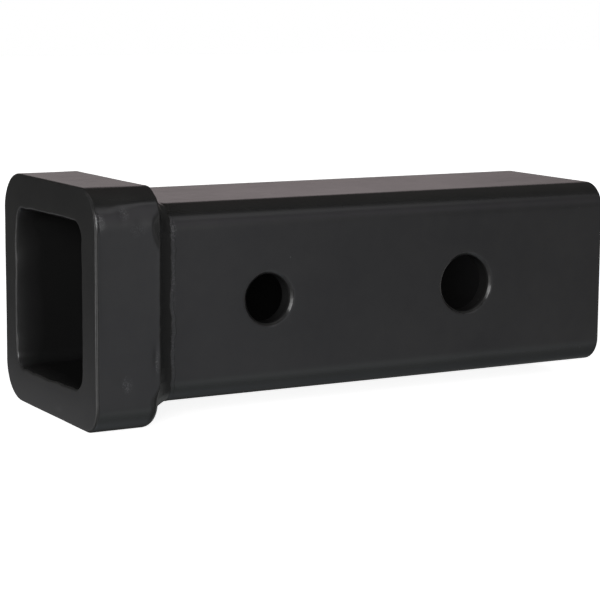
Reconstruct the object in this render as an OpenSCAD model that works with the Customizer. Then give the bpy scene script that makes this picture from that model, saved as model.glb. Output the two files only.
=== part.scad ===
// Hitch reducer sleeve: a square steel sleeve that fills a 2-1/2 in receiver
// and leaves a 2 in square socket for a smaller shank. A square band is welded
// round the mouth end as a stop, and two pin holes cross the side walls.
//
// Frame: the origin is the centre of the socket's mouth, in the plane of the
// front face. +X runs along the socket, from the mouth to the rear end, +Z is up,
// and both pin holes run along Y.

/* [Tube] */
// Width of the tube outside, across its flats
tube_w = 63.5; // [60:0.1:66]
// Length of the tube, from the front face to the rear end
tube_len = 196.85; // [180:0.05:240]
// Thickness of the tube's wall
tube_wall = 6.35; // [5.5:0.05:7]
// Radius of the tube's outer corners
tube_corner_r = 8.5; // [7:0.1:9.5]
// Radius of the socket's inner corners
socket_corner_r = 4; // [3:0.1:5]
// How far the socket's mouth is flared, measured across one wall
mouth_flare_w = 1.9; // [0.6:0.1:2.2]
// How far the flare of the mouth reaches into the socket
mouth_flare_len = 8.2; // [2:0.1:10]
// Rounding of the tube's outer edge at the rear end
tail_round = 0.8; // [0.4:0.1:1.5]
// Rounding of the socket's edge at the rear end
tail_inner_round = 0.6; // [0.4:0.1:1.5]

/* [Pin holes] */
// Distance from the front face to the first pin hole, for a 5/8 in pin
front_hole_x = 63.5; // [50:0.1:75]
// Diameter of the first pin hole
front_hole_d = 16.2; // [16:0.1:18]
// Distance from the front face to the second pin hole, for a 3/4 in pin
rear_hole_x = 139.7; // [120:0.1:150]
// Diameter of the second pin hole
rear_hole_d = 19.3; // [19.2:0.1:21]
// Rounding of the rims of the pin holes, on the tube's outside
rim_round = 0.9; // [0.3:0.1:1]

/* [Collar] */
// Width of the collar band outside, across its flats
collar_w = 76.2; // [74:0.1:80]
// Length of the collar band along the tube
collar_len = 22.2; // [18:0.1:30]
// Radius of the collar's outer corners, all but the lower near one
collar_corner_r = 12.5; // [9:0.1:14]
// Radius of the collar's lower near corner, which is ground less than the rest
collar_low_corner_r = 9; // [8:0.1:14]
// Rounding of the collar's front edge
collar_front_round = 1.2; // [0.6:0.1:1.5]
// Rounding of the collar's rear edge
collar_rear_round = 1; // [0.6:0.1:1.2]

/* [Welds] */
// How far the rear weld reaches along the tube, behind the collar
bead_leg_tube = 7; // [5:0.1:9]
// How far the rear weld rises up the collar's rear face
bead_leg_collar = 4.6; // [3:0.1:4.8]
// Depth and half width of the ground groove weld in the front face
seam_depth = 2.4; // [1.5:0.1:2.5]

/* [Hidden] */
$fn = 96;
socket_w = tube_w - 2 * tube_wall;
// corner radii in turn: far lower, far upper, near upper, near lower
tube_rs = [for (k = [0:3]) tube_corner_r];
socket_rs = [for (k = [0:3]) socket_corner_r];
collar_rs = [
    collar_corner_r, collar_corner_r, collar_corner_r, collar_low_corner_r
];
// how far a cutter runs past the face that it cuts
past = 1;
coat = [0.16, 0.16, 0.17];
weld_coat = [0.13, 0.13, 0.14];

// Square of width w whose corners have the radii rs
module round_square(w, rs) {
    difference() {
        square(w, center = true);
        for (k = [0:3]) rotate(90 * k)
            translate([w / 2 - rs[k], w / 2 - rs[k]]) difference() {
                square(rs[k] + past);
                circle(r = rs[k]);
            }
    }
}

// Straight bar of that section, from z0 to z1
module bar(w, rs, z0, z1) {
    translate([0, 0, z0]) linear_extrude(z1 - z0) round_square(w, rs);
}

// Carries a flat profile round a square of width w with corner radii rs.
// In the profile, X is the distance out from the square's surface and Y is Z.
module ring_of(w, rs) {
    for (k = [0:3]) rotate([0, 0, 90 * k])
        translate([w / 2, w / 2 - rs[k], 0]) {
            rotate([90, 0, 0])
                linear_extrude(w - rs[k] - rs[(k + 3) % 4]) children();
            translate([-rs[k], 0, 0])
                rotate_extrude(angle = 90) translate([rs[k], 0]) children();
        }
}

// What a rounding of radius e takes off an edge at the origin. The metal lies
// on the side of the edge that sx and sy point to.
module round_off(e, sx, sy) {
    difference() {
        polygon([
            [-sx * past, -sy * past], [sx * e, -sy * past],
            [sx * e, sy * e], [-sx * past, sy * e]
        ]);
        translate([sx * e, sy * e]) circle(r = e);
    }
}

// What the flare takes off the socket's wall at the mouth
module mouth_flare() {
    polygon([
        [-past, -past], [mouth_flare_w, -past], [mouth_flare_w, 0],
        [0, mouth_flare_len], [-past, mouth_flare_len]
    ]);
}

// Lays a shape that was drawn along Z along +X
module along_x() {
    rotate([0, 90, 0]) children();
}

// Pin hole through both side walls at height z, with its rims rounded
module pin_hole(z, d) {
    translate([0, 0, z]) {
        rotate([90, 0, 0])
            cylinder(d = d, h = tube_w + 2 * past, center = true);
        for (s = [-1, 1])
            rotate([s * 90, 0, 0]) translate([0, 0, tube_w / 2])
                rotate_extrude() translate([d / 2, 0])
                    round_off(rim_round, 1, -1);
    }
}

// Ground groove weld that closes the seam in the front face
module seam_section() {
    polygon([[-seam_depth, 0], [seam_depth, 0], [0, seam_depth]]);
}

// The same groove, open past the front face, as cut into tube and collar
module seam_groove() {
    polygon([
        [-seam_depth, -past], [seam_depth, -past],
        [seam_depth, 0], [0, seam_depth], [-seam_depth, 0]
    ]);
}

// Square tube with the socket, the two pin holes and its worked ends
module sleeve_tube() {
    color(coat) along_x() difference() {
        bar(tube_w, tube_rs, 0, tube_len);
        bar(socket_w, socket_rs, -past, tube_len + past);
        ring_of(socket_w, socket_rs) mouth_flare();
        translate([0, 0, tube_len]) {
            ring_of(socket_w, socket_rs)
                round_off(tail_inner_round, 1, -1);
            ring_of(tube_w, tube_rs) round_off(tail_round, -1, -1);
        }
        ring_of(tube_w, tube_rs) seam_groove();
        pin_hole(front_hole_x, front_hole_d);
        pin_hole(rear_hole_x, rear_hole_d);
    }
}

// Square band round the mouth end of the tube
module collar_band() {
    color(coat) along_x() difference() {
        bar(collar_w, collar_rs, 0, collar_len);
        bar(tube_w, tube_rs, -past, collar_len + past);
        ring_of(collar_w, collar_rs)
            round_off(collar_front_round, -1, 1);
        translate([0, 0, collar_len])
            ring_of(collar_w, collar_rs)
                round_off(collar_rear_round, -1, -1);
        ring_of(tube_w, tube_rs) seam_groove();
    }
}

// Fillet weld all round, in the corner between the collar and the tube
module rear_weld_bead() {
    color(weld_coat) along_x() translate([0, 0, collar_len])
        ring_of(tube_w, tube_rs)
            polygon([
                [0, 0], [bead_leg_collar, 0],
                [bead_leg_collar * 0.45, bead_leg_tube * 0.3],
                [0, bead_leg_tube]
            ]);
}

// Groove weld in the front face, ground flush with it
module front_seam_weld() {
    color(coat) along_x() ring_of(tube_w, tube_rs) seam_section();
}

sleeve_tube();
collar_band();
rear_weld_bead();
front_seam_weld();
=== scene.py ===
import bpy, bmesh, math
import numpy as np
from mathutils import Matrix, Vector


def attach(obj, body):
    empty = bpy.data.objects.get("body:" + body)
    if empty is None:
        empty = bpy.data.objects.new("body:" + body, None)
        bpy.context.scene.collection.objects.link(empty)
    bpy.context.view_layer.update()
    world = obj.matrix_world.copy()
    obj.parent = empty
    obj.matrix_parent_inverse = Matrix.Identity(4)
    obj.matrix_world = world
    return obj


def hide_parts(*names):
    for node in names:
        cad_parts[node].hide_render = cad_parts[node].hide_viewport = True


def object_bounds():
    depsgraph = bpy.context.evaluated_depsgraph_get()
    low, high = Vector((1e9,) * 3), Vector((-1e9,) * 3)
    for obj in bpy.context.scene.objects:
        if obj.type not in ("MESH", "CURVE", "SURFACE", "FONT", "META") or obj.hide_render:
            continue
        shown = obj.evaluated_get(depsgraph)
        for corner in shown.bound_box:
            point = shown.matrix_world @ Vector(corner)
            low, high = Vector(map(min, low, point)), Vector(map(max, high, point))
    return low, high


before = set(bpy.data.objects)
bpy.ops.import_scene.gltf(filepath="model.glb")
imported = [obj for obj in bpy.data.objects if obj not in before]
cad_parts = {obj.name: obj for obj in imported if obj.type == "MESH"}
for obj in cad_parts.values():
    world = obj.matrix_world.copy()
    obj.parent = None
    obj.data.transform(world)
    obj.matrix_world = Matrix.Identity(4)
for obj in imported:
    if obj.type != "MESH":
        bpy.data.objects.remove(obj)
cad_lo, cad_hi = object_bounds()
scene = bpy.context.scene

# ------------------------------------------------------------------ camera
cam_d = bpy.data.cameras.new("cam")
cam = bpy.data.objects.new("cam", cam_d)
scene.collection.objects.link(cam)
cam_d.sensor_fit = "HORIZONTAL"
cam_d.sensor_width = 36.0
cam_d.lens = 121.725
cam_d.clip_start, cam_d.clip_end = 0.05, 50.0
right = Vector((0.871674, -0.490033, 0.007237))
down = Vector((-0.068886, -0.13713, -0.988155))
fwd = Vector((0.485221, 0.86085, -0.153289))
m = Matrix((right, -down, -fwd)).transposed().to_4x4()
m.translation = Vector((-0.24499, -0.59923, 0.09985))
cam.matrix_world = m
scene.camera = cam

# ------------------------------------------------------------------ sizes, mm
MM = 0.001
TUBE_H = 31.75            # half width of the tube outside
TUBE_R = 8.5              # its outer corners
SOCK_H = 25.4             # half width of the socket
SOCK_R = 4.0
TUBE_L = 196.85
COL_H = 38.1              # half width of the collar outside
COL_L = 22.2
COL_R, COL_LOW_R = 12.5, 9.0
SEAM = 2.4                # half width and depth of the front groove weld
TAIL_OUT, TAIL_IN = 0.8, 0.6
HOLES = ((63.5, 8.1), (139.7, 9.65))
RIM = 0.9
PATCH = 14.0              # half width of the square patch round a pin hole

# corner radii in turn: near upper, far upper, far lower, near lower
TUBE_RS = (TUBE_R,) * 4
SOCK_RS = (SOCK_R,) * 4
COL_RS = (COL_R, COL_R, COL_R, COL_LOW_R)

# sides in turn: near (-Y), top, far (+Y), bottom; normal and direction in (y, z)
SIDE_N = np.array([(-1, 0), (0, 1), (1, 0), (0, -1)], float)
SIDE_T = np.array([(0, 1), (1, 0), (0, -1), (-1, 0)], float)


class Round:
    """Points round a square with rounded corners, in the YZ plane."""

    def __init__(self, h, rs, edge=10, mid=24, arc=16):
        p, n, side, c = [], [], [], []
        for k in range(4):
            r0, r1 = rs[k - 1], rs[k]
            nn, tt = SIDE_N[k], SIDE_T[k]
            cs = np.concatenate((
                np.linspace(-(h - r0), -PATCH, edge + 1)[:-1],
                np.linspace(-PATCH, PATCH, mid + 1)[:-1],
                np.linspace(PATCH, h - r1, edge + 1)[:-1]))
            for v in cs:
                p.append(nn * h + tt * v); n.append(nn); side.append(k); c.append(v)
            for a in np.linspace(0, math.pi / 2, arc + 1)[:-1]:
                d = nn * math.cos(a) + tt * math.sin(a)
                p.append((nn + tt) * (h - r1) + d * r1)
                n.append(d); side.append(k + 0.5); c.append(math.degrees(a))
        self.p, self.n = np.array(p), np.array(n)
        self.side, self.c = np.array(side), np.array(c)
        step = np.linalg.norm(np.roll(self.p, -1, 0) - self.p, axis=1)
        self.s = np.concatenate(((0,), np.cumsum(step)[:-1]))
        self.length = float(step.sum())
        self.count = len(p)

    def at(self, x, off):
        """Ring of 3-D points, mm, at x and at distance off outside the square."""
        q = self.p + self.n * np.reshape(off, (-1, 1))
        return np.column_stack((np.broadcast_to(x, self.count), q))


def waves(seed, s, length, low, high, power=0.7):
    """Smooth periodic unevenness round a ring, about -1 to 1."""
    rng = np.random.RandomState(seed)
    v = np.zeros_like(s)
    total = 0.0
    for k in range(low, high + 1):
        a = rng.uniform(0.5, 1.0) / k ** power
        v += a * np.cos(2 * math.pi * k * s / length + rng.uniform(0, 2 * math.pi))
        total += a * a
    return v / math.sqrt(total) * 0.75


def soft_min(a, b, k):
    h = np.clip(0.5 + 0.5 * (b - a) / k, 0, 1)
    return b + (a - b) * h - k * h * (1 - h)


def bump_at(v, centre, width):
    return np.exp(-((v - centre) / width) ** 2)


class Builder:
    """Collects rings and patches of points, in mm, and makes one closed mesh."""

    def __init__(self):
        self.v, self.f, self.wear, self.deep, self.n = [], [], [], [], 0

    def add(self, pts, wear=0.0, deep=0.0):
        pts = np.asarray(pts, float).reshape(-1, 3)
        base = self.n
        self.v.append(pts)
        self.deep.append(np.broadcast_to(np.asarray(deep, float), len(pts)).copy())
        self.wear.append(np.broadcast_to(np.asarray(wear, float), len(pts)).copy())
        self.n += len(pts)
        return base

    def strip(self, a, b, count, closed=True, skip=None):
        last = count if closed else count - 1
        for j in range(last):
            if skip is not None and skip[j]:
                continue
            j2 = (j + 1) % count
            self.f.append((a + j, a + j2, b + j2, b + j))

    def make(self, name, sharp=40.0, merge=0.004):
        v = np.concatenate(self.v) * MM
        w = np.concatenate(self.wear)
        me = bpy.data.meshes.new(name)
        me.from_pydata([tuple(q) for q in v.tolist()], [], self.f)
        me.update()
        att = me.attributes.new("wear", "FLOAT", "POINT")
        att.data.foreach_set("value", w.astype(np.float32))
        # per-point weight of the painted shade inside the socket and the bores
        deep = np.concatenate(self.deep)
        att = me.attributes.new("painted_shade_inside", "FLOAT", "POINT")
        att.data.foreach_set("value", deep.astype(np.float32))
        bm = bmesh.new()
        bm.from_mesh(me)
        bmesh.ops.remove_doubles(bm, verts=bm.verts, dist=merge * MM)
        bmesh.ops.recalc_face_normals(bm, faces=bm.faces)
        for f in bm.faces:
            f.smooth = True
        lim = math.radians(sharp)
        for e in bm.edges:
            e.smooth = not (len(e.link_faces) == 2 and e.calc_face_angle(0.0) > lim)
        bm.to_mesh(me)
        bm.free()
        me.validate()
        ob = bpy.data.objects.new(name, me)
        scene.collection.objects.link(ob)
        mod = ob.modifiers.new("even_normals", "WEIGHTED_NORMAL")
        mod.keep_sharp = True
        mod.weight = 50
        return ob


# ------------------------------------------------------------------ rings
tube = Round(TUBE_H, TUBE_RS)
sock = Round(SOCK_H, SOCK_RS)
coll = Round(COL_H, COL_RS)
N = tube.count

# The mouth was flared by hand with a grinder, so its width wanders. For each
# side, places along it and how far the flare goes past the socket's wall there;
# "c" rows are the corners between the sides.
FLARE = (
    ("side", 0, ((-20.0, 1.9), (-14.0, 2.05), (-7.0, 2.2), (0.0, 2.1), (8.0, 2.0), (15.0, 1.95), (20.0, 1.8))),
    ("corner", 0, ((25.0, 2.15), (65.0, 2.2))),
    ("side", 1, ((-20.0, 2.2), (-12.0, 2.4), (-5.0, 2.25), (2.0, 2.15), (9.0, 2.15), (15.5, 1.95), (20.0, 1.6))),
    ("corner", 1, ((20.0, 1.9), (70.0, 0.9))),
    ("side", 2, ((-20.5, 1.2), (-16.0, 2.1), (-12.0, 2.25), (-8.0, 1.75), (-3.5, 1.8), (1.0, 2.3), (8.0, 2.3), (14.0, 2.5), (19.5, 2.0))),
    ("corner", 2, ((25.0, 1.8), (65.0, 1.5))),
    ("side", 3, ((-19.5, 0.9), (-14.0, 1.35), (-8.5, 1.0), (-5.0, 0.95), (-1.0, 1.4), (3.0, 0.9), (7.0, 0.55), (12.0, 0.7), (18.0, 0.3))),
    ("corner", 3, ((20.0, 0.3), (60.0, 0.75), (80.0, 1.5))),
)


def flare_width():
    where, what = [], []
    for kind, k, rows in FLARE:
        m = sock.side == (k if kind == "side" else k + 0.5)
        order = np.argsort(sock.c[m])
        for c, w in rows:
            where.append(float(np.interp(c, sock.c[m][order], sock.s[m][order])))
            what.append(w)
    order = np.argsort(where)
    where, what = np.array(where)[order], np.array(what)[order]
    v = np.interp(sock.s, where, what, period=sock.length)
    # soften over about a millimetre and a half
    out, total = np.zeros_like(v), 0.0
    for k in range(-4, 5):
        g = math.exp(-(k / 2.0) ** 2)
        out += np.roll(v, k) * g
        total += g
    return out / total


mouth_w = flare_width() + 0.05 * waves(11, sock.s, sock.length, 18, 44, 0.2)
mouth_w = np.clip(mouth_w, 0.2, 2.8)
mouth_d = 3.2 + 2.6 * mouth_w + 0.5 * waves(12, sock.s, sock.length, 3, 9)
mouth_d = np.clip(mouth_d, 2.5, 9.0)
mouth_r = 0.68 + 0.12 * waves(13, sock.s, sock.length, 6, 30, 0.3)
FLARE_P = 1.55
slope_a = np.arctan(FLARE_P * mouth_w / mouth_d)      # flare's slope at the face
mouth_t = mouth_r / np.tan((math.pi / 2 + slope_a) / 2)
# edges of the collar: front and rear roundings, uneven from grinding
front_e = 1.15 + 0.12 * waves(5, coll.s, coll.length, 2, 9) \
    + 0.05 * waves(6, coll.s, coll.length, 10, 34, 0.3)
rear_e = 0.85 + 0.13 * waves(7, coll.s, coll.length, 3, 12) \
    + 0.06 * waves(8, coll.s, coll.length, 14, 44, 0.3)
front_e = np.clip(front_e, 0.7, 1.6)


def crown(h):
    """How far the hand-ground front face falls back at height h over the tube."""
    return 0.20 * np.clip((np.asarray(h, float) + 3.6) / 8.8, 0, 1) ** 2


def low_near(ring):
    """1 round the lower near corner, where band and weld were ground together."""
    v = np.where(ring.side == 3.5, 1.0, 0.0)
    h = TUBE_H - TUBE_R if ring.side is not coll.side else COL_H - COL_LOW_R
    v = np.where(ring.side == 0, np.clip(1 - (ring.c + h) / 6.0, 0, 1), v)
    v = np.where(ring.side == 3, np.clip(1 - (h - ring.c) / 6.0, 0, 1), v)
    return v * v * (3 - 2 * v)


low_c = low_near(coll)
rear_e = np.clip(rear_e, 0.45, 1.3) * (1 - low_c) + 4.0 * low_c
rear_e = np.where((coll.side == 0.5) & (coll.c > 40), 0.55, rear_e)


def upper_corner(x):
    """How far the near upper corner stands outside its front radius at x: it
    gets squarer towards the rear, with a ground flat across it."""
    w = np.clip((x - 3.0) / 15.0, 0, 1)
    w = w * w * (3 - 2 * w)
    k = coll.side == 0.5
    a = np.radians(np.where(k, coll.c, 45.0))
    r2 = 10.5
    e = COL_R - r2
    ed = -e * (np.cos(a) + np.sin(a))
    arc = -ed + np.sqrt(np.maximum(ed ** 2 - 2 * e * e + r2 * r2, 0))
    h2 = COL_H - r2
    qy = (COL_H - COL_R) + arc * np.cos(a)
    qz = (COL_H - COL_R) + arc * np.sin(a)
    arc = np.where((qy > h2 - 1e-6) & (qz > h2 - 1e-6), arc, 99.0)
    s2 = np.minimum(np.minimum(COL_R / np.maximum(np.cos(a), 0.02), COL_R / np.maximum(np.sin(a), 0.02)), arc)
    # the ground flat
    f = math.radians(57)
    flat = 48.3 - (COL_H - COL_R) * (math.cos(f) + math.sin(f))
    s2 = soft_min(s2, flat / np.maximum(np.cos(a - f), 0.05), 0.25)
    # the lower part of the corner keeps its radius
    q = np.clip((coll.c - 16) / 26.0, 0, 1)
    return np.where(k, (s2 - COL_R) * w * q * q * (3 - 2 * q), 0.0)


def weld_reach(ring):
    """How far the rear weld reaches behind the collar, round the tube, and how
    rough it is."""
    s, length = ring.s, ring.length
    mid = (TUBE_H - TUBE_R) * 2 + TUBE_R * math.pi / 4
    dist = np.abs((s - mid + length / 2) % length - length / 2)
    rough = np.exp(-(dist / 8.0) ** 2)
    v = 6.30 + 0.30 * waves(51, s, length, 6, 26, 0.25) + 0.15 * waves(52, s, length, 27, 80, 0.2) \
        + 0.30 * rough * waves(53, s, length, 30, 80, 0.1)
    return np.clip(v, 5.5, 7.0), rough


# ------------------------------------------------------------------ tube
def spans(pairs):
    out = [np.array([pairs[0][0]], float)]
    for a, b, k in pairs:
        out.append(np.linspace(a, b, k + 1)[1:])
    return np.concatenate(out)


def make_tube():
    b = Builder()
    near_far = np.zeros(N, bool)
    for k in (0, 2):
        near_far |= (tube.side == k) & (tube.c >= -PATCH - 1e-6) & (tube.c < PATCH - 1e-6)

    def in_patch(x0, x1):
        return any(x0 >= hx - PATCH - 1e-6 and x1 <= hx + PATCH + 1e-6 for hx, _ in HOLES)

    (h1, r1), (h2, r2) = HOLES
    rows = []
    # outer surface, front to rear
    xs = spans(((SEAM, 22.2, 8), (22.2, 31.6, 8), (31.6, h1 - PATCH, 9), (h1 - PATCH, h1 + PATCH, 24),
                (h1 + PATCH, h2 - PATCH, 20), (h2 - PATCH, h2 + PATCH, 24),
                (h2 + PATCH, 190.0, 14), (190.0, TUBE_L - TAIL_OUT, 4)))
    for x in xs:
        rows.append(("outer", x, tube.at(x, 0.0), 0.0))
    # the rear end's edges and its sawn face
    for a in np.linspace(0, math.pi / 2, 8)[1:]:
        rows.append(("end", None, tube.at(TUBE_L - TAIL_OUT + TAIL_OUT * math.sin(a),
                                          -TAIL_OUT + TAIL_OUT * math.cos(a)), 0.8 * math.sin(2 * a)))
    o, i = tube.at(TUBE_L, -TAIL_OUT), sock.at(TUBE_L, TAIL_IN)
    for t in (0.25, 0.5, 0.75):
        rows.append(("end", None, o + (i - o) * t, 0.0))
    for a in np.linspace(0, math.pi / 2, 7):
        rows.append(("end", None, sock.at(TUBE_L - TAIL_IN + TAIL_IN * math.cos(a),
                                          TAIL_IN - TAIL_IN * math.sin(a)), 0.6 * math.sin(2 * a)))
    # socket wall, rear to front
    xs = spans(((TUBE_L - TAIL_IN, h2 + PATCH, 10), (h2 + PATCH, h2 - PATCH, 24),
                (h2 - PATCH, h1 + PATCH, 12), (h1 + PATCH, h1 - PATCH, 24),
                (h1 - PATCH, 14.0, 14), (14.0, 9.2, 3)))
    for x in xs[1:]:
        rows.append(("inner", x, sock.at(x, 0.0), 0.0))
    # the flare, then its rounded edge at the front face
    end_a = math.pi / 2 - slope_a
    end_x = mouth_r * (1 - np.cos(end_a))
    for t in np.linspace(1, 0, 17)[:-1]:
        x = end_x + (mouth_d - end_x) * t
        rows.append(("mouth", None, sock.at(x, mouth_w * np.clip(1 - x / mouth_d, 0, 1) ** FLARE_P), 0.25 * (1 - t)))
    for t in np.linspace(1, 0, 9):
        a = end_a * t
        rows.append(("mouth", None, sock.at(mouth_r * (1 - np.cos(a)),
                                            mouth_w + mouth_t - mouth_r * np.sin(a)), math.sin(math.pi * t)))
    # front face out to the groove, then the groove's side
    i, o = sock.at(0.0, mouth_w + mouth_t), tube.at(0.0, -SEAM)
    for t in (0.3, 0.65, 1.0):
        q = i + (o - i) * t
        q[:, 0] += crown((mouth_w + mouth_t - TUBE_H + SOCK_H) * (1 - t) - SEAM * t)
        rows.append(("front", None, q, 0.0))
    rows.append(("groove", None, tube.at(SEAM * 0.5, -SEAM * 0.5), 0.0))

    # painted shade weight of each ring: full on the socket wall, fading along the flare towards the mouth
    deep = [1.0 if r[0] == "inner" else 0.0 for r in rows]
    flare = [k for k, r in enumerate(rows) if r[0] == "mouth"]
    for i, k in enumerate(flare[:16]):
        deep[k] = 1.0 - 0.45 * (i / 15.0) ** 4
    base = [b.add(r[2], r[3], d) for r, d in zip(rows, deep)]
    for k in range(len(rows)):
        k2 = (k + 1) % len(rows)
        skip = None
        if rows[k][0] in ("outer", "inner") and rows[k2][0] == rows[k][0]:
            x0, x1 = sorted((rows[k][1], rows[k2][1]))
            if in_patch(x0, x1):
                skip = near_far
        b.strip(base[k], base[k2], N, True, skip)

    # the walls round the pin holes, and the bores through them
    M = 96
    loop = []
    q = np.linspace(-PATCH, PATCH, 25)
    loop += [(PATCH, w) for w in q[:-1]]
    loop += [(u, PATCH) for u in q[::-1][:-1]]
    loop += [(-PATCH, w) for w in q[::-1][:-1]]
    loop += [(u, -PATCH) for u in q[:-1]]
    loop = np.array(loop)
    ang = np.radians(-45 + np.arange(M) * 360.0 / M)
    circle = np.column_stack((np.cos(ang), np.sin(ang)))
    for hi, (hx, r) in enumerate(HOLES):
        for sgn in (-1.0, 1.0):
            seed = 20 + hi * 4 + (1 if sgn > 0 else 0)
            rim = RIM + 0.07 * waves(seed, ang, 2 * math.pi, 2, 9) \
                + 0.04 * waves(seed + 40, ang, 2 * math.pi, 10, 26, 0.2)
            rr = r + 0.04 * waves(seed + 80, ang, 2 * math.pi, 2, 5)
            rings = []

            def ring(rad, y, wear=0.0, deep=0.0):
                c = circle * np.reshape(rad, (-1, 1))
                rings.append((np.column_stack((hx + c[:, 0], np.broadcast_to(y * sgn, M), c[:, 1])), wear, deep))

            def square_to(rad, y, out):
                for t in ((0.0, 0.28, 0.52, 0.72, 0.88) if out else (0.12, 0.28, 0.48, 0.72, 1.0)):
                    c = circle * np.reshape(rad, (-1, 1))
                    f = (1 - t) if out else t
                    d = c + (loop - c) * f
                    rings.append((np.column_stack((hx + d[:, 0], np.full(M, y * sgn), d[:, 1])), 0.0, 0.0 if out else 1.0))

            # the last value of each ring is its painted shade weight: rising across the rim, full down the bore and
            # on the inner wall round the hole
            square_to(rr + rim, TUBE_H, True)
            # the rim is between a rounding and a small bevel
            for a in np.linspace(0, math.pi / 2, 11):
                f = a / (math.pi / 2)
                d1 = 0.2 * math.sin(a) + 0.8 * f
                d2 = 0.2 * (1 - math.cos(a)) + 0.8 * f
                ring(rr + rim - rim * d1, TUBE_H - rim * d2, math.sin(2 * a), 0.3 * f)
            inner_rim = 0.25
            for t in (0.25, 0.5, 0.75):
                ring(rr, (TUBE_H - rim) + (SOCK_H + inner_rim - TUBE_H + rim) * t, 0.0, 1.0)
            for a in np.linspace(0, math.pi / 2, 5):
                ring(rr + inner_rim - inner_rim * math.cos(a), SOCK_H + inner_rim - inner_rim * math.sin(a), 0.0, 1.0)
            square_to(rr + inner_rim, SOCK_H, False)
            bs = [b.add(p, w, d) for p, w, d in rings]
            for k in range(len(bs) - 1):
                b.strip(bs[k], bs[k + 1], M)
    return b.make("sleeve_body")


# ------------------------------------------------------------------ collar
def collar_cut(x, off):
    """Lowers the collar's surface where it was ground: returns the new off."""
    near = coll.side == 0
    z = coll.c
    # flat ground across the rear edge, below the near upper corner
    corner = (coll.side == 0.5) & (coll.c < 30)
    zz = np.where(near, z, np.where(corner, 25.6 + COL_R * np.sin(np.radians(coll.c)), -99))
    reach = np.interp(zz, FACET_Z, FACET_REACH, left=0, right=0)
    plane = -(np.asarray(x) - (COL_L - reach)) * math.tan(math.radians(22))
    cut = np.where(reach > 0.02, soft_min(off, plane, 0.12), off)
    off = np.where(reach > 0.02, np.minimum(cut, off), off)
    # a small flat by the front ridge, at the same height
    reach = np.interp(zz, (25.3, 26.6, 28.3, 29.6, 32.0), (0.0, 2.2, 3.9, 2.6, 0.0), left=0, right=0)
    plane = -(reach - np.asarray(x)) * math.tan(math.radians(9))
    cut = np.where(reach > 0.02, soft_min(off, plane, 0.04), off)
    return np.where(reach > 0.02, np.minimum(cut, off), off)


FACET_Z = (18.5, 20.6, 23.8, 26.5, 28.2, 29.4, 30.4)
FACET_REACH = (0.0, 1.1, 2.7, 3.0, 2.6, 1.1, 0.0)


def make_collar():
    b = Builder()
    rows = []
    i, o = tube.at(0.0, SEAM), coll.at(0.0, -front_e)
    for t in (0.0, 0.35, 0.7):
        q = i + (o - i) * t
        q[:, 0] += crown(SEAM + (COL_H - TUBE_H - 1.15 - SEAM) * t)
        rows.append((q, 0.0))
    back = float(crown(5.2))
    for a in np.linspace(0, math.pi / 2, 13):
        rows.append((coll.at(back * math.cos(a) + front_e - front_e * math.cos(a), -front_e + front_e * math.sin(a)), math.sin(2 * a)))
    dent = 0.05 * (waves(31, coll.s, coll.length, 2, 7) - 1.0)
    for t in np.concatenate((np.linspace(0, 0.2, 12)[1:], np.linspace(0.2, 0.6, 13)[1:], np.linspace(0.6, 1.0, 24)[1:-1])):
        x = front_e + (COL_L - rear_e - front_e) * t
        fade = math.sin(math.pi * t) ** 0.5
        off = dent * fade
        # shallow marks left by the grinder below the upper corner
        zz = np.where(coll.side == 0, coll.c, np.where(coll.side == 0.5, 25.6 + COL_R * np.sin(np.radians(coll.c)), -99))
        for (cx, cz, wx, wz, d) in MARKS:
            off = off - d * bump_at(x, cx, wx) * bump_at(zz, cz, wz)
        rows.append((coll.at(x, collar_cut(x, off + upper_corner(x))), 0.0))
    for a in np.linspace(0, math.pi / 2, 12):
        x = COL_L - rear_e + rear_e * math.sin(a)
        rows.append((coll.at(x, collar_cut(x, upper_corner(COL_L) - rear_e + rear_e * math.cos(a))), math.sin(2 * a)))
    o, i = coll.at(COL_L, collar_cut(COL_L, upper_corner(COL_L) - rear_e)), tube.at(COL_L, 0.0)
    for t in (0.3, 0.6, 1.0):
        rows.append((o + (i - o) * t, 0.0))
    for x in (15.0, 8.0, SEAM):
        rows.append((tube.at(x, 0.0), 0.0))
    rows.append((tube.at(SEAM * 0.5, SEAM * 0.5), 0.0))
    base = [b.add(p, w) for p, w in rows]
    for k in range(len(base)):
        b.strip(base[k], base[(k + 1) % len(base)], N)
    return b.make("collar_ring", merge=0.02)


# x, z, half widths along x and z, depth, all mm
MARKS = (
    (9.4, 31.0, 0.9, 1.8, 0.10),
    (6.8, 31.8, 1.0, 1.4, -0.04),
    (1.9, 28.6, 1.4, 2.6, 0.05),
    (15.5, 27.5, 2.0, 2.2, 0.05),
    (9.0, -20.5, 2.2, 1.6, 0.05),
    (11.0, -23.5, 1.4, 1.2, 0.05),
    (20.2, -14.5, 0.8, 3.0, 0.10),
)


# ------------------------------------------------------------------ welds
def make_seam():
    b = Builder()
    rows = [tube.at(float(crown(v)), v) for v in (-SEAM, -SEAM * 0.5, 0.0, SEAM * 0.5, SEAM)]
    rows += [tube.at(SEAM * 0.5, SEAM * 0.5), tube.at(SEAM, 0.0), tube.at(SEAM * 0.5, -SEAM * 0.5)]
    base = [b.add(p) for p in rows]
    for k in range(len(base)):
        b.strip(base[k], base[(k + 1) % len(base)], N)
    return b.make("front_seam")


def lattice(seed, nu, nv):
    return np.random.RandomState(seed).uniform(-1, 1, (nu, nv))


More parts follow.
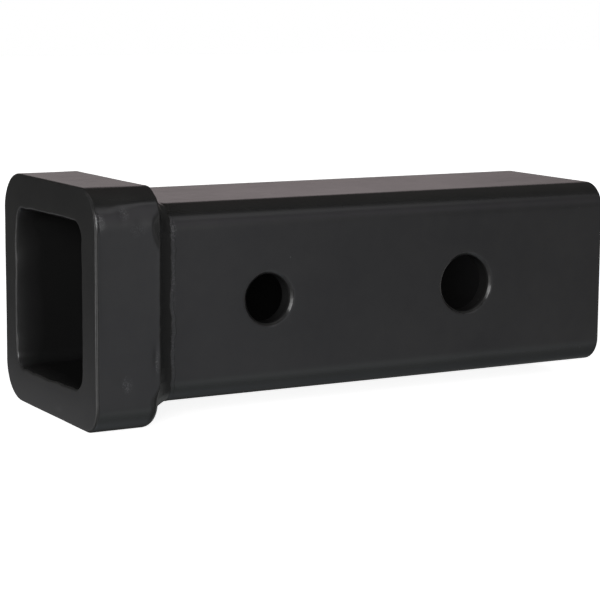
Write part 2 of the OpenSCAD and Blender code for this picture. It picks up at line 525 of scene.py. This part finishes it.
def value_noise(grid, u, v):
    """Smooth noise on a lattice that wraps in u. u in cells, v in cells."""
    nu, nv = grid.shape
    iu, iv = np.floor(u).astype(int), np.floor(v).astype(int)
    fu, fv = u - iu, v - iv
    fu, fv = fu * fu * (3 - 2 * fu), fv * fv * (3 - 2 * fv)
    a, b2 = grid[iu % nu, iv % nv], grid[(iu + 1) % nu, iv % nv]
    c, d = grid[iu % nu, (iv + 1) % nv], grid[(iu + 1) % nu, (iv + 1) % nv]
    return (a * (1 - fu) + b2 * fu) * (1 - fv) + (c * (1 - fu) + d * fu) * fv


def make_bead():
    ring = Round(TUBE_H, TUBE_RS, edge=40, mid=96, arc=60)
    s, length, n = ring.s, ring.length, ring.count
    b = Builder()
    leg_t, rough = weld_reach(ring)
    low = low_near(ring)
    leg_c = 4.3 + 0.22 * waves(54, s, length, 4, 30, 0.4) + 0.10 * waves(55, s, length, 31, 90, 0.2)
    leg_c = np.clip(leg_c, 3.6, 4.9) * (1 - low) + 4.9 * low + 0.5 * rough
    in_c = 1.05 * low
    px = (2.75 * (1 - low) + 2.1 * low) * leg_t / 6.30
    po = 1.70 * (1 - low) + 2.0 * low
    # beyond the fillet a thin foot laps onto the tube
    foot = 1.30 + 0.22 * waves(62, s, length, 8, 40, 0.2) + 0.10 * waves(63, s, length, 41, 90, 0.1)
    foot = np.clip(foot, 0.8, 1.8)
    g1, g2 = lattice(61, 120, 8), lattice(62, 300, 16)
    phase = 2 * math.pi * s / length * 118 + 1.6 * waves(57, s, length, 3, 20, 0.3)
    rows = [ring.at(COL_L + leg_t + foot, -0.05), ring.at(COL_L + leg_t + foot - 0.01, 0.02)]
    for t in (0.0, 0.12, 0.3, 0.5, 0.7, 0.88):
        g = value_noise(lattice(65, 420, 8), s / length * 420, np.full(n, 1 + 4 * t))
        rows.append(ring.at(COL_L + leg_t + (foot - 0.10) * (1 - t),
                            0.085 - 0.045 * t + 0.012 * g * (1 + 2.5 * rough)))
    K = 30
    for k in range(K + 1):
        u = k / K
        # quadratic from the toe on the tube to the toe on the collar
        bx = (1 - u) ** 2 * leg_t + 2 * u * (1 - u) * px - u ** 2 * in_c
        bo = 2 * u * (1 - u) * po + u ** 2 * leg_c + 0.04 * (1 - u) ** 2
        # outward normal of the fillet in the (x, off) plane
        tx = -2 * (1 - u) * leg_t + (2 - 4 * u) * px
        to = (2 - 4 * u) * po + 2 * u * leg_c
        ln = np.hypot(tx, to)
        nx, no = to / ln, -tx / ln
        env = math.sin(math.pi * u) ** 0.6
        lip = 0.04 * math.exp(-((u - 0.93) / 0.05) ** 2)
        d = lip * (1 + 0.5 * waves(58, s, length, 20, 70, 0.2)) \
            + env * 0.018 * np.cos(phase + 2.2 * (u - 0.5) ** 2 * 4) \
            + env * 0.05 * value_noise(g1, s / length * 60, np.full(n, u * 2.0)) \
            + env * 0.012 * value_noise(g2, s / length * 300, np.full(n, u * 8.0)) \
            + env * rough * 0.20 * value_noise(g2, s / length * 150 + 7, np.full(n, u * 4.0 + 3)) \
            + rough * u ** 3 * 0.28 * np.abs(value_noise(g2, s / length * 290 + 3, np.full(n, u * 6.0 + 1)))
        rows.append(ring.at(COL_L + np.maximum(bx + nx * d, -in_c), np.maximum(bo + no * d, -0.05)))
    rows.append(ring.at(COL_L, leg_c * 0.5))
    rows.append(ring.at(COL_L, -0.05))
    rows.append(ring.at(COL_L + leg_t * 0.5, -0.05))
    # the wear here lightens the rough weld round the near upper corner: rubbed coat, and a painted highlight on its
    # lumps
    base = [b.add(p, 1.2 * rough) for p in rows]
    for k in range(len(base)):
        b.strip(base[k], base[(k + 1) % len(base)], n)
    return b.make("rear_bead", sharp=55.0, merge=0.006)


# ------------------------------------------------------------------ materials
class Nodes:
    """Small helper round a material's node tree."""

    def __init__(self, name):
        self.mat = bpy.data.materials.new(name)
        self.mat.use_nodes = True
        self.t = self.mat.node_tree
        self.bsdf = self.t.nodes["Principled BSDF"]

    def node(self, kind, **props):
        n = self.t.nodes.new(kind)
        for k, v in props.items():
            setattr(n, k, v)
        return n

    def link(self, a, b):
        self.t.links.new(a, b)

    def noise(self, vec, scale, detail=2.0, rough=0.5, dist=0.0):
        n = self.node("ShaderNodeTexNoise", noise_dimensions="3D")
        n.inputs["Scale"].default_value = scale
        n.inputs["Detail"].default_value = detail
        n.inputs["Roughness"].default_value = rough
        n.inputs["Distortion"].default_value = dist
        self.link(vec, n.inputs["Vector"])
        return n.outputs["Fac"]

    def ramp(self, fac, stops, interp="LINEAR"):
        n = self.node("ShaderNodeValToRGB")
        n.color_ramp.interpolation = interp
        e = n.color_ramp.elements
        e[0].position, e[0].color = stops[0][0], (*stops[0][1], 1)
        e[1].position, e[1].color = stops[-1][0], (*stops[-1][1], 1)
        for pos, col in stops[1:-1]:
            q = e.new(pos)
            q.color = (*col, 1)
        self.link(fac, n.inputs["Fac"])
        return n.outputs["Color"]

    def remap(self, val, a, b, c, d):
        n = self.node("ShaderNodeMapRange")
        for k, v in zip(("From Min", "From Max", "To Min", "To Max"), (a, b, c, d)):
            n.inputs[k].default_value = v
        self.link(val, n.inputs["Value"])
        return n.outputs["Result"]

    def math(self, op, a, b=None, clamp=False):
        n = self.node("ShaderNodeMath", operation=op, use_clamp=clamp)
        for i, v in enumerate((a, b)):
            if v is None:
                continue
            if isinstance(v, (int, float)):
                n.inputs[i].default_value = v
            else:
                self.link(v, n.inputs[i])
        return n.outputs[0]

    def mix(self, fac, a, b):
        n = self.node("ShaderNodeMix", data_type="RGBA")
        for sock, v in ((n.inputs[0], fac), (n.inputs[6], a), (n.inputs[7], b)):
            if isinstance(v, (int, float)):
                sock.default_value = v
            elif isinstance(v, tuple):
                sock.default_value = (*v, 1)
            else:
                self.link(v, sock)
        return n.outputs[2]


# lighter spots, centre and half sizes in mm, strength: most are scuffs and dust; the three long strips along the toe
# of the rear weld on the near side and the spot by the upper end of the front ridge are painted highlights
SCUFFS_AND_HIGHLIGHTS = (
    (1.6, -37.0, 28.6, 2.0, 3.0, 3.4, 0.42),
    (10.0, -37.0, 30.6, 2.2, 4.0, 2.6, 0.20),
    (14.5, -38.0, 25.5, 3.5, 3.0, 2.6, 0.10),
    (10.3, -38.0, -22.5, 2.2, 3.0, 3.2, 0.26),
    (20.6, -38.0, -16.0, 0.9, 3.0, 4.2, 0.30),
    (0.3, -8.0, -34.5, 1.5, 3.2, 1.4, 0.16),
    (23.4, -30.0, 33.0, 1.6, 5.0, 2.6, 0.34),
    (29.2, -31.7, 24.0, 1.5, 2.2, 4.5, 0.40),
    (29.2, -31.8, 8.0, 1.3, 1.5, 14.0, 0.18),
    (29.0, -31.8, -12.0, 1.1, 1.5, 12.0, 0.14),
)


def powder_coat(name, base=0.0175, rough=0.23, peel=0.000012, grain=0.0000015, wear_gain=1.0):
    """Satin black powder coat: orange peel, fine grain, dust nibs, thin edges."""
    k = Nodes(name)
    co = k.node("ShaderNodeTexCoord").outputs["Object"]
    cloud = k.noise(co, 38.0, 3.0, 0.55)
    patch = k.noise(co, 160.0, 4.0, 0.6)
    fine = k.noise(co, 2600.0, 2.0, 0.6)
    wear_at = k.node("ShaderNodeAttribute", attribute_name="wear").outputs["Fac"]
    # colour: almost even, a little warmer and cooler in clouds
    lo = (base * 0.90, base * 0.90, base * 0.93)
    hi = (base * 1.10, base * 1.09, base * 1.09)
    col = k.ramp(k.math("ADD", k.math("MULTIPLY", cloud, 0.6), k.math("MULTIPLY", patch, 0.4)),
                 ((0.35, lo), (0.65, hi)))
    # thin, slightly rubbed coat along the edges, broken up by noise
    worn = k.math("MULTIPLY", wear_at, k.remap(k.noise(co, 420.0, 4.0, 0.65), 0.42, 0.66, 0.0, 1.0))
    worn = k.math("MULTIPLY", worn, 0.55 * wear_gain, clamp=True)
    col = k.mix(worn, col, (base * 2.3, base * 2.25, base * 2.2))
    # dust nibs in the coat: small raised dots, a few to the square inch
    vor = k.node("ShaderNodeTexVoronoi", feature="F1", voronoi_dimensions="3D")
    vor.inputs["Scale"].default_value = 95.0
    vor.inputs["Randomness"].default_value = 1.0
    k.link(co, vor.inputs["Vector"])
    dot = k.remap(vor.outputs["Distance"], 0.014, 0.034, 1.0, 0.0)
    pick = k.node("ShaderNodeSeparateColor")
    k.link(vor.outputs["Color"], pick.inputs[0])
    dot = k.math("MULTIPLY", dot, k.math("GREATER_THAN", pick.outputs[0], 0.55), clamp=True)
    col = k.mix(k.math("MULTIPLY", dot, 0.5), col, (base * 4.5, base * 4.5, base * 4.7))
    # painted shade: inside the socket and the bores the colour is darkened where shade falls, and the coat there also
    # reflects less and is rougher
    painted_shade_inside = k.node("ShaderNodeAttribute", attribute_name="painted_shade_inside").outputs["Fac"]
    col = k.mix(k.math("MULTIPLY", painted_shade_inside, 0.6, clamp=True), col, (base * 0.3, base * 0.3, base * 0.3))
    # lighter spots: scuffs and dust, and painted highlights along the rear weld's toe and by the front ridge
    scuffs_and_highlights = None
    for cx, cy, cz, rx, ry, rz, gain in SCUFFS_AND_HIGHLIGHTS:
        d = k.node("ShaderNodeVectorMath", operation="SUBTRACT")
        k.link(co, d.inputs[0])
        d.inputs[1].default_value = (cx * MM, cy * MM, cz * MM)
        e = k.node("ShaderNodeVectorMath", operation="MULTIPLY")
        k.link(d.outputs[0], e.inputs[0])
        e.inputs[1].default_value = (1 / (rx * MM), 1 / (ry * MM), 1 / (rz * MM))
        f = k.node("ShaderNodeVectorMath", operation="LENGTH")
        k.link(e.outputs[0], f.inputs[0])
        f = k.remap(f.outputs["Value"], 0.25, 1.0, gain, 0.0)
        scuffs_and_highlights = f if scuffs_and_highlights is None else k.math("MAXIMUM", scuffs_and_highlights, f)
    speck = k.remap(k.noise(co, 1900.0, 3.0, 0.7), 0.50, 0.66, 0.06, 1.0)
    col = k.mix(k.math("MULTIPLY", scuffs_and_highlights, speck, clamp=True), col, (0.26, 0.26, 0.27))
    k.link(col, k.bsdf.inputs["Base Color"])
    k.link(k.remap(painted_shade_inside, 0.0, 1.0, 0.5, 0.08), k.bsdf.inputs["Specular IOR Level"])
    # gloss varies softly, and is a little higher where the coat is rubbed
    r = k.remap(k.math("ADD", k.math("MULTIPLY", cloud, 0.5), k.math("MULTIPLY", patch, 0.5)),
                0.3, 0.7, rough - 0.02, rough + 0.02)
    r = k.math("ADD", r, k.math("MULTIPLY", k.math("SUBTRACT", fine, 0.5), 0.03))
    r = k.math("SUBTRACT", r, k.math("MULTIPLY", worn, 0.04))
    r = k.math("ADD", r, k.math("MULTIPLY", painted_shade_inside, 0.24))
    k.link(r, k.bsdf.inputs["Roughness"])
    k.bsdf.inputs["IOR"].default_value = 1.5
    # orange peel and grain
    orange = k.noise(co, 620.0, 1.5, 0.45)
    b1 = k.node("ShaderNodeBump")
    b1.inputs["Strength"].default_value = 1.0
    b1.inputs["Distance"].default_value = peel
    k.link(orange, b1.inputs["Height"])
    b2 = k.node("ShaderNodeBump")
    b2.inputs["Strength"].default_value = 1.0
    b2.inputs["Distance"].default_value = grain
    k.link(fine, b2.inputs["Height"])
    k.link(b1.outputs["Normal"], b2.inputs["Normal"])
    b3 = k.node("ShaderNodeBump")
    b3.inputs["Strength"].default_value = 1.0
    b3.inputs["Distance"].default_value = 0.00008
    k.link(dot, b3.inputs["Height"])
    k.link(b2.outputs["Normal"], b3.inputs["Normal"])
    k.link(b3.outputs["Normal"], k.bsdf.inputs["Normal"])
    return k.mat


coat = powder_coat("powder_coat_black")
coat_weld = powder_coat("powder_coat_weld", base=0.0165, rough=0.25, peel=0.00002, grain=0.000002, wear_gain=0.6)

body = make_tube()
collar = make_collar()
seam = make_seam()
bead = make_bead()
for ob, node, mat, slot in ((body, "sleeve_tube", coat, "powder_coat"),
                            (collar, "collar_band", coat, "powder_coat"),
                            (seam, "front_seam_weld", coat, "powder_coat"),
                            (bead, "rear_weld_bead", coat_weld, "weld_coat")):
    ob.data.materials.append(mat)
    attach(ob, "root")
    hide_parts(node)
# the hidden frame nodes carry the coats too
for name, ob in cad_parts.items():
    ob.data.materials.clear()
    ob.data.materials.append(coat_weld if name == "rear_weld_bead" else coat)

# ------------------------------------------------------------------ stage
floor_z = cad_lo.z
FLOOR = 3.0
me = bpy.data.meshes.new("floor")
me.from_pydata([(-FLOOR, -FLOOR, floor_z), (FLOOR, -FLOOR, floor_z),
                (FLOOR, FLOOR, floor_z), (-FLOOR, FLOOR, floor_z)], [], [(0, 1, 2, 3)])
floor = bpy.data.objects.new("floor", me)
scene.collection.objects.link(floor)
fm = Nodes("floor_pale")
t = fm.t
t.nodes.remove(fm.bsdf)
out = t.nodes["Material Output"]
lp = fm.node("ShaderNodeLightPath")
em = fm.node("ShaderNodeEmission")
em.inputs["Color"].default_value = (1, 1, 1, 1)
em.inputs["Strength"].default_value = 0.88
df = fm.node("ShaderNodeBsdfDiffuse")
df.inputs["Color"].default_value = (0.9, 0.9, 0.9, 1)
ad = fm.node("ShaderNodeAddShader")
fm.link(em.outputs[0], ad.inputs[0])
fm.link(df.outputs[0], ad.inputs[1])
tr = fm.node("ShaderNodeBsdfTransparent")
mx = fm.node("ShaderNodeMixShader")
fm.link(lp.outputs["Is Camera Ray"], mx.inputs[0])
fm.link(tr.outputs[0], mx.inputs[1])
fm.link(ad.outputs[0], mx.inputs[2])
fm.link(mx.outputs[0], out.inputs["Surface"])
me.materials.append(fm.mat)

# ------------------------------------------------------------------ light
# soft lights far off, as lobes of the world: azimuth and elevation of the light
# in degrees, narrowness, and strength in red, green and blue
LOBES = {
    "az0_elm85": (0, -85, 10, (0.47, 0.51, 0.55)),
    "azm60_elm52": (-60, -52, 20, (0.22, 0.25, 0.24)),
    "azm60_elm30": (-60, -30, 30, (0.57, 0.60, 0.62)),
    "azm20_elm30": (-20, -30, 30, (0.15, 0.15, 0.15)),
    "az30_elm30": (30, -30, 30, (0.05, 0.06, 0.06)),
    "az140_elm30": (140, -30, 30, (0.52, 0.52, 0.53)),
    "azm165_elm9": (-165, -9, 60, (1.33, 1.33, 1.33)),
    "azm150_elm9": (-150, -9, 60, (1.49, 1.49, 1.49)),
    "azm120_elm9": (-120, -9, 60, (0.12, 0.12, 0.12)),
    "azm75_elm9": (-75, -9, 60, (0.77, 0.77, 0.82)),
    "azm60_elm9": (-60, -9, 60, (0.06, 0.06, 0.08)),
    "azm45_elm9": (-45, -9, 60, (0.20, 0.19, 0.18)),
    "azm30_elm9": (-30, -9, 60, (0.44, 0.44, 0.44)),
    "az15_elm9": (15, -9, 60, (0.43, 0.44, 0.44)),
    "az105_elm9": (105, -9, 60, (0.04, 0.04, 0.04)),
    "az78_el6": (78, 6, 90, (0.42, 0.40, 0.40)),
    "az150_elm9": (150, -9, 60, (2.46, 2.46, 2.46)),
    "az165_elm9": (165, -9, 60, (0.57, 0.57, 0.57)),
    "azm90_el8": (-90, 8, 60, (0.58, 0.58, 0.59)),
    "azm75_el8": (-75, 8, 60, (1.36, 1.38, 1.40)),
    "az60_el9": (60, 9, 60, (0.29, 0.25, 0.26)),
    "azm80_el26": (-80, 26, 45, (0.79, 0.78, 0.80)),
    "azm60_el26": (-60, 26, 45, (0.47, 0.44, 0.50)),
    "az60_el55": (60, 55, 14, (0.04, 0.03, 0.03)),
    "az0_el62": (0, 62, 14, (0.03, 0.03, 0.02)),
    "fill_back": (150, 27, 15, (0.26, 0.26, 0.26)),
    "fill_left": (-135, -38, 11, (0.38, 0.38, 0.38)),
    "fill_rear": (20, 33, 14, (0.07, 0.07, 0.07)),
    "fill_far": (34, -26, 30, (0.20, 0.20, 0.20)),
    "fill_side": (-32, 14, 30, (0.30, 0.30, 0.30)),
    "fill_top": (180, 82, 20, (0.60, 0.60, 0.60)),
}
AMBIENT = (0.030, 0.030, 0.027)

# softboxes with firmer edges: azimuth of the middle, half width, lower and upper
# elevation, softness of the sides, of the lower and of the upper edge, strength
BOXES = {
    "backm4": (-140, 24, -14, 4, 6, 3, 3, (0.16, 0.16, 0.16)),
    "back28": (-140, 24, 4, 28, 6, 3, 3, (5.95, 5.95, 5.96)),
    "far15": (60, 22, -12, 15, 8, 5, 2, (0.15, 0.13, 0.13)),
    "front": (112, 16, -32, -11, 6, 5, 2, (0.19, 0.19, 0.20)),
    "topA": (-72, 12, 38, 54, 6, 4, 1.5, (0.86, 0.84, 0.88)),
    "topB": (-50, 12, 38, 54, 6, 4, 1.5, (0.69, 0.69, 0.71)),
}


def lobe_dir(az, el):
    az, el = math.radians(az), math.radians(el)
    return (math.cos(el) * math.cos(az), math.cos(el) * math.sin(az), math.sin(el))


def make_world():
    w = bpy.data.worlds.new("studio")
    scene.world = w
    w.use_nodes = True
    nt = w.node_tree
    nt.nodes.clear()
    out = nt.nodes.new("ShaderNodeOutputWorld")
    co = nt.nodes.new("ShaderNodeTexCoord")
    nrm = nt.nodes.new("ShaderNodeVectorMath")
    nrm.operation = "NORMALIZE"
    nt.links.new(co.outputs["Generated"], nrm.inputs[0])
    total = None
    for name, (az, el, kappa, col) in LOBES.items():
        dot = nt.nodes.new("ShaderNodeVectorMath")
        dot.operation = "DOT_PRODUCT"
        nt.links.new(nrm.outputs[0], dot.inputs[0])
        dot.inputs[1].default_value = lobe_dir(az, el)
        a = nt.nodes.new("ShaderNodeMath"); a.operation = "SUBTRACT"
        nt.links.new(dot.outputs["Value"], a.inputs[0]); a.inputs[1].default_value = 1.0
        m2 = nt.nodes.new("ShaderNodeMath"); m2.operation = "MULTIPLY"
        nt.links.new(a.outputs[0], m2.inputs[0]); m2.inputs[1].default_value = kappa
        ex = nt.nodes.new("ShaderNodeMath"); ex.operation = "EXPONENT"
        nt.links.new(m2.outputs[0], ex.inputs[0])
        sc = nt.nodes.new("ShaderNodeVectorMath"); sc.operation = "SCALE"
        sc.inputs[0].default_value = col
        sc.label = name
        nt.links.new(ex.outputs[0], sc.inputs["Scale"])
        if total is None:
            total = sc.outputs[0]
        else:
            ad = nt.nodes.new("ShaderNodeVectorMath"); ad.operation = "ADD"
            nt.links.new(total, ad.inputs[0]); nt.links.new(sc.outputs[0], ad.inputs[1])
            total = ad.outputs[0]
    def mnode(op, a, b=None):
        n = nt.nodes.new("ShaderNodeMath"); n.operation = op
        for i, v in enumerate((a, b)):
            if v is None:
                continue
            if isinstance(v, (int, float)):
                n.inputs[i].default_value = v
            else:
                nt.links.new(v, n.inputs[i])
        return n.outputs[0]

    def edge(v, lo, hi):
        n = nt.nodes.new("ShaderNodeMapRange")
        n.interpolation_type = "SMOOTHSTEP"
        n.inputs["From Min"].default_value = lo
        n.inputs["From Max"].default_value = hi
        nt.links.new(v, n.inputs["Value"])
        return n.outputs["Result"]

    sep = nt.nodes.new("ShaderNodeSeparateXYZ")
    nt.links.new(nrm.outputs[0], sep.inputs[0])
    elev = mnode("MULTIPLY", mnode("ARCSINE", sep.outputs["Z"]), 180 / math.pi)
    for name, (az, half, e0, e1, sa, s0, s1, col) in BOXES.items():
        ca, sn = math.cos(math.radians(az)), math.sin(math.radians(az))
        along = mnode("ADD", mnode("MULTIPLY", sep.outputs["X"], ca), mnode("MULTIPLY", sep.outputs["Y"], sn))
        side = mnode("SUBTRACT", mnode("MULTIPLY", sep.outputs["Y"], ca), mnode("MULTIPLY", sep.outputs["X"], sn))
        off = mnode("MULTIPLY", mnode("ABSOLUTE", mnode("ARCTAN2", side, along)), 180 / math.pi)
        f = edge(off, half + sa, half - sa)
        f = mnode("MULTIPLY", f, edge(elev, e0 - s0, e0 + s0))
        f = mnode("MULTIPLY", f, edge(elev, e1 + s1, e1 - s1))
        sc = nt.nodes.new("ShaderNodeVectorMath"); sc.operation = "SCALE"
        sc.inputs[0].default_value = col
        sc.label = name
        nt.links.new(f, sc.inputs["Scale"])
        ad = nt.nodes.new("ShaderNodeVectorMath"); ad.operation = "ADD"
        nt.links.new(total, ad.inputs[0]); nt.links.new(sc.outputs[0], ad.inputs[1])
        total = ad.outputs[0]
    amb = nt.nodes.new("ShaderNodeVectorMath"); amb.operation = "ADD"
    nt.links.new(total, amb.inputs[0]); amb.inputs[1].default_value = AMBIENT
    amb.label = "ambient"
    lit = nt.nodes.new("ShaderNodeBackground")
    nt.links.new(amb.outputs[0], lit.inputs["Color"])
    seen = nt.nodes.new("ShaderNodeBackground")
    seen.inputs["Color"].default_value = (1, 1, 1, 1)
    lp = nt.nodes.new("ShaderNodeLightPath")
    mx = nt.nodes.new("ShaderNodeMixShader")
    nt.links.new(lp.outputs["Is Camera Ray"], mx.inputs[0])
    nt.links.new(lit.outputs[0], mx.inputs[1])
    nt.links.new(seen.outputs[0], mx.inputs[2])
    nt.links.new(mx.outputs[0], out.inputs["Surface"])
    return w


world = make_world()
scene.view_settings.view_transform = "Standard"
